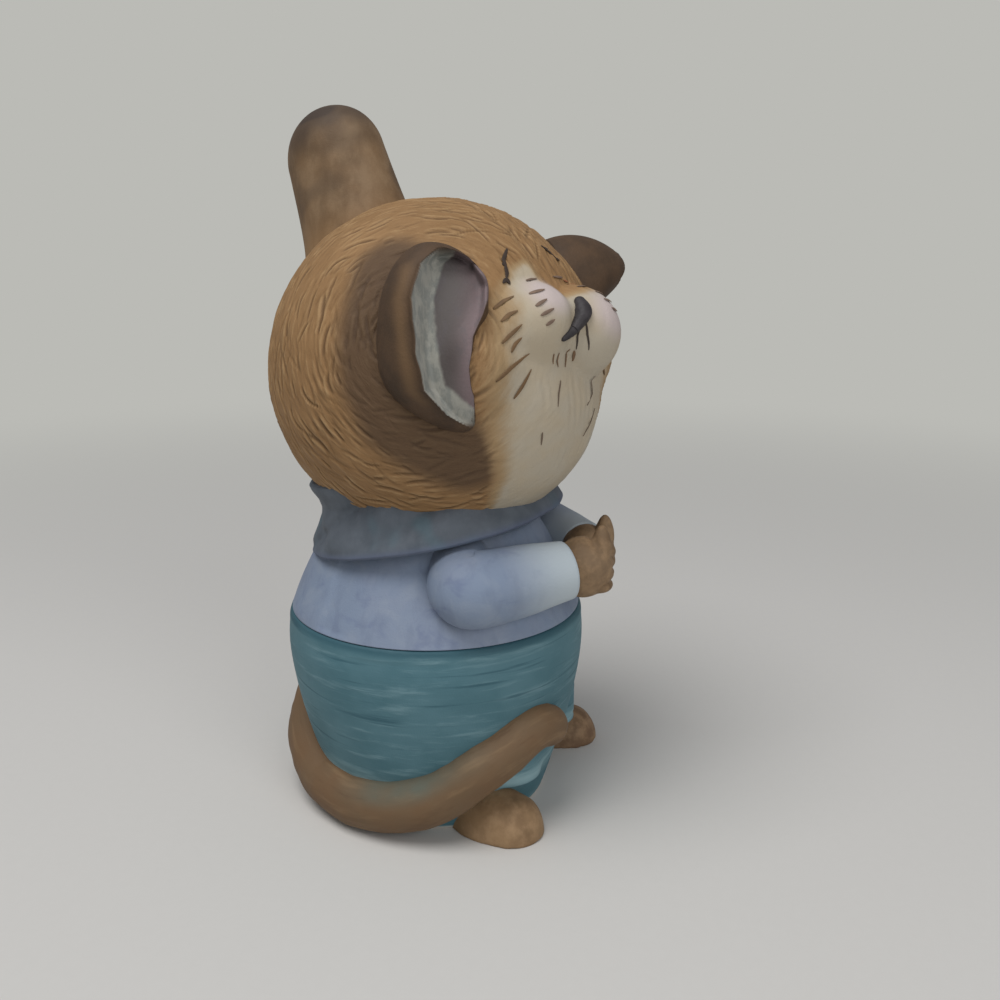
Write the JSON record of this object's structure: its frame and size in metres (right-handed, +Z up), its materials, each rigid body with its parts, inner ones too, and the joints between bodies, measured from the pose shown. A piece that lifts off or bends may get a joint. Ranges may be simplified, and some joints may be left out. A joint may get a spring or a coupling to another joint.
{
  "type": "mouse figurine",
  "caption": "Standing dressed mouse in matt porcelain, looking up with its paws held together and its tail round one side.",
  "frame": {"origin": "on the flat base, at the middle of the round body", "axes": "+Z up out of the base, -Y the way the body and feet face, +X the mouse's left side"},
  "size_m": [0.0367, 0.0384, 0.0726],
  "materials": {
    "trouser_bisque": "matt teal stain, brushed along the body",
    "shirt_bisque": "matt pale lavender blue stain",
    "collar_bisque": "matt grey blue stain",
    "fur_bisque": "matt tan stain over carved fur, cream at the cheeks and jaw",
    "nose_bisque": "matt black",
    "ear_bisque": "matt brown outside, lilac grey inside",
    "tuft_bisque": "matt tan, darker at the tip",
    "sleeve_bisque": "matt pale lavender blue stain, whiter at the wrist",
    "paw_bisque": "matt tan brown",
    "foot_bisque": "matt tan brown",
    "tail_bisque": "matt tan brown, brushed along its length"
  },
  "bodies": {
    "root": {"trousers": "trouser_bisque", "torso": "shirt_bisque", "collar": "collar_bisque", "head": "fur_bisque", "nose": "nose_bisque", "right_ear": "ear_bisque", "left_ear": "ear_bisque", "crown_tuft": "tuft_bisque", "right_sleeve": "sleeve_bisque", "left_sleeve": "sleeve_bisque", "right_paw": "paw_bisque", "left_paw": "paw_bisque", "right_foot": "foot_bisque", "left_foot": "foot_bisque", "tail": "tail_bisque"}
  },
  "joints": []
}
